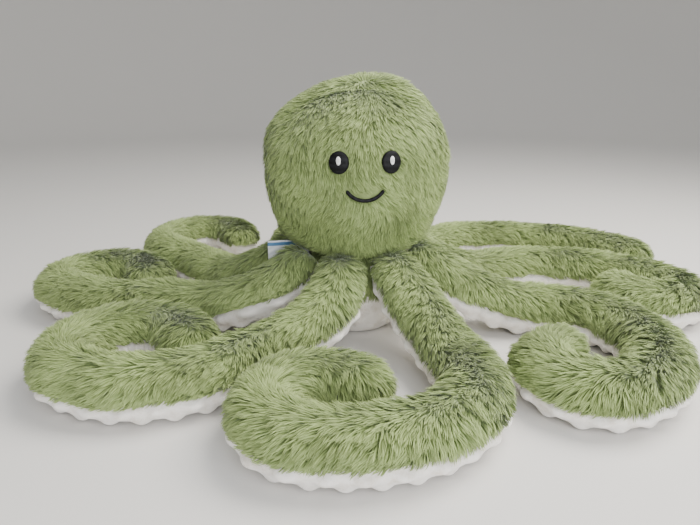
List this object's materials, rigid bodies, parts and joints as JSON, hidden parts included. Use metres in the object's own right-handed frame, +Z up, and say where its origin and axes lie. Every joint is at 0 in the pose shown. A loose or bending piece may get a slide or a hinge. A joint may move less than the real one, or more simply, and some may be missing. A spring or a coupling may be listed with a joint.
{
  "type": "plush octopus",
  "caption": "Long-pile soft toy octopus with a round smiling head on stuffed arms that lie curled on the table, green above and white below.",
  "frame": {"origin": "on the table under the middle of the body, at the centre of the flat of its white base", "axes": "+Z up through the head, -Y the way the face looks, +X towards the right of someone facing the toy"},
  "size_m": [0.7604, 0.6529, 0.2555],
  "materials": {
    "green_pile": "long sage-green polyester pile",
    "white_sole": "white dimple plush",
    "filling": "polyester fibre filling",
    "black_thread": "black embroidery thread, slight sheen",
    "white_thread": "white embroidery thread",
    "label_tape": "white satin label tape"
  },
  "bodies": {
    "body": {"body_cover": "green_pile", "body_base": "white_sole", "body_filling": "filling", "label": "label_tape"},
    "neck": {"neck_filling": "filling"},
    "head": {"head_face_panel": "green_pile", "head_back_panel": "green_pile", "head_filling": "filling", "left_eye": "black_thread", "left_eye_glint": "white_thread", "right_eye": "black_thread", "right_eye_glint": "white_thread", "smile": "black_thread"},
    "arm_front_left": {"arm_front_left_pile": "green_pile", "arm_front_left_sole": "white_sole", "arm_front_left_filling": "filling"},
    "arm_front_left_tip": {"arm_front_left_tip_pile": "green_pile", "arm_front_left_tip_sole": "white_sole"},
    "arm_front_right": {"arm_front_right_pile": "green_pile", "arm_front_right_sole": "white_sole", "arm_front_right_filling": "filling"},
    "arm_front_right_tip": {"arm_front_right_tip_pile": "green_pile", "arm_front_right_tip_sole": "white_sole"},
    "arm_right": {"arm_right_pile": "green_pile", "arm_right_sole": "white_sole", "arm_right_filling": "filling"},
    "arm_right_tip": {"arm_right_tip_pile": "green_pile", "arm_right_tip_sole": "white_sole"},
    "arm_right_back": {"arm_right_back_pile": "green_pile", "arm_right_back_sole": "white_sole", "arm_right_back_filling": "filling"},
    "arm_right_back_tip": {"arm_right_back_tip_pile": "green_pile", "arm_right_back_tip_sole": "white_sole"},
    "arm_back_right": {"arm_back_right_pile": "green_pile", "arm_back_right_sole": "white_sole", "arm_back_right_filling": "filling"},
    "arm_back_right_tip": {"arm_back_right_tip_pile": "green_pile", "arm_back_right_tip_sole": "white_sole"},
    "arm_back_left": {"arm_back_left_pile": "green_pile", "arm_back_left_sole": "white_sole", "arm_back_left_filling": "filling"},
    "arm_back_left_tip": {"arm_back_left_tip_pile": "green_pile", "arm_back_left_tip_sole": "white_sole"},
    "arm_left_back": {"arm_left_back_pile": "green_pile", "arm_left_back_sole": "white_sole", "arm_left_back_filling": "filling"},
    "arm_left_back_tip": {"arm_left_back_tip_pile": "green_pile", "arm_left_back_tip_sole": "white_sole"},
    "arm_left": {"arm_left_pile": "green_pile", "arm_left_sole": "white_sole", "arm_left_filling": "filling"},
    "arm_left_tip": {"arm_left_tip_pile": "green_pile", "arm_left_tip_sole": "white_sole"}
  },
  "joints": [
    {"name": "head_turn", "type": "hinge", "parent": "body", "child": "neck", "pos_m": [0, 0, 0.0883], "axis": [0, 0, 1], "range_deg": [-40, 40], "stiffness_Nm_per_rad": 0.3},
    {"name": "head_nod", "type": "hinge", "parent": "neck", "child": "head", "pos_m": [0, 0, 0.0883], "axis": [1, 0, 0], "range_deg": [-8, 8], "stiffness_Nm_per_rad": 0.8},
    {"name": "arm_front_left_lift", "type": "hinge", "parent": "body", "child": "arm_front_left", "pos_m": [-0.0169, -0.0731, 0.066], "axis": [-0.9744, 0.225, 0], "range_deg": [0, 40], "stiffness_Nm_per_rad": 0.15},
    {"name": "arm_front_left_tip_lift", "type": "hinge", "parent": "arm_front_left", "child": "arm_front_left_tip", "pos_m": [-0.2191, -0.0836, 0.025], "axis": [0.4225, -0.9064, 0], "range_deg": [-10, 50], "stiffness_Nm_per_rad": 0.05},
    {"name": "arm_front_right_lift", "type": "hinge", "parent": "body", "child": "arm_front_right", "pos_m": [0.0397, -0.0636, 0.066], "axis": [-0.848, -0.5299, 0], "range_deg": [0, 40], "stiffness_Nm_per_rad": 0.15},
    {"name": "arm_front_right_tip_lift", "type": "hinge", "parent": "arm_front_right", "child": "arm_front_right_tip", "pos_m": [-0.0698, -0.2163, 0.025], "axis": [0.9703, -0.2419, 0], "range_deg": [-10, 50], "stiffness_Nm_per_rad": 0.05},
    {"name": "arm_right_lift", "type": "hinge", "parent": "body", "child": "arm_right", "pos_m": [0.0731, -0.0169, 0.066], "axis": [-0.225, -0.9744, 0], "range_deg": [-10, 40], "stiffness_Nm_per_rad": 0.15},
    {"name": "arm_right_tip_lift", "type": "hinge", "parent": "arm_right", "child": "arm_right_tip", "pos_m": [0.1737, -0.2077, 0.025], "axis": [0.3741, 0.9274, 0], "range_deg": [-10, 50], "stiffness_Nm_per_rad": 0.05},
    {"name": "arm_right_back_lift", "type": "hinge", "parent": "body", "child": "arm_right_back", "pos_m": [0.0636, 0.0397, 0.066], "axis": [0.5299, -0.848, 0], "range_deg": [-10, 40], "stiffness_Nm_per_rad": 0.15},
    {"name": "arm_right_back_tip_lift", "type": "hinge", "parent": "arm_right_back", "child": "arm_right_back_tip", "pos_m": [0.3511, -0.0079, 0.025], "axis": [-0.79, 0.6132, 0], "range_deg": [-10, 50], "stiffness_Nm_per_rad": 0.05},
    {"name": "arm_back_right_lift", "type": "hinge", "parent": "body", "child": "arm_back_right", "pos_m": [0.0169, 0.0731, 0.066], "axis": [0.9744, -0.225, 0], "range_deg": [-10, 40], "stiffness_Nm_per_rad": 0.15},
    {"name": "arm_back_right_tip_lift", "type": "hinge", "parent": "arm_back_right", "child": "arm_back_right_tip", "pos_m": [0.3059, 0.2257, 0.025], "axis": [-0.5382, -0.8428, 0], "range_deg": [-10, 50], "stiffness_Nm_per_rad": 0.05},
    {"name": "arm_back_left_lift", "type": "hinge", "parent": "body", "child": "arm_back_left", "pos_m": [-0.0397, 0.0636, 0.066], "axis": [0.848, 0.5299, 0], "range_deg": [-10, 40], "stiffness_Nm_per_rad": 0.15},
    {"name": "arm_back_left_tip_lift", "type": "hinge", "parent": "arm_back_left", "child": "arm_back_left_tip", "pos_m": [0.0351, 0.2821, 0.025], "axis": [-0.9286, -0.3711, 0], "range_deg": [-10, 50], "stiffness_Nm_per_rad": 0.05},
    {"name": "arm_left_back_lift", "type": "hinge", "parent": "body", "child": "arm_left_back", "pos_m": [-0.0731, 0.0169, 0.066], "axis": [0.225, 0.9744, 0], "range_deg": [-10, 40], "stiffness_Nm_per_rad": 0.15},
    {"name": "arm_left_back_tip_lift", "type": "hinge", "parent": "arm_left_back", "child": "arm_left_back_tip", "pos_m": [-0.2282, 0.292, 0.025], "axis": [0.2485, -0.9686, 0], "range_deg": [-10, 50], "stiffness_Nm_per_rad": 0.05},
    {"name": "arm_left_lift", "type": "hinge", "parent": "body", "child": "arm_left", "pos_m": [-0.0636, -0.0397, 0.066], "axis": [-0.5299, 0.848, 0], "range_deg": [-5, 35], "stiffness_Nm_per_rad": 0.15},
    {"name": "arm_left_tip_lift", "type": "hinge", "parent": "arm_left", "child": "arm_left_tip", "pos_m": [-0.3006, 0.1023, 0.025], "axis": [0.287, -0.9579, 0], "range_deg": [-10, 50], "stiffness_Nm_per_rad": 0.05}
  ]
}
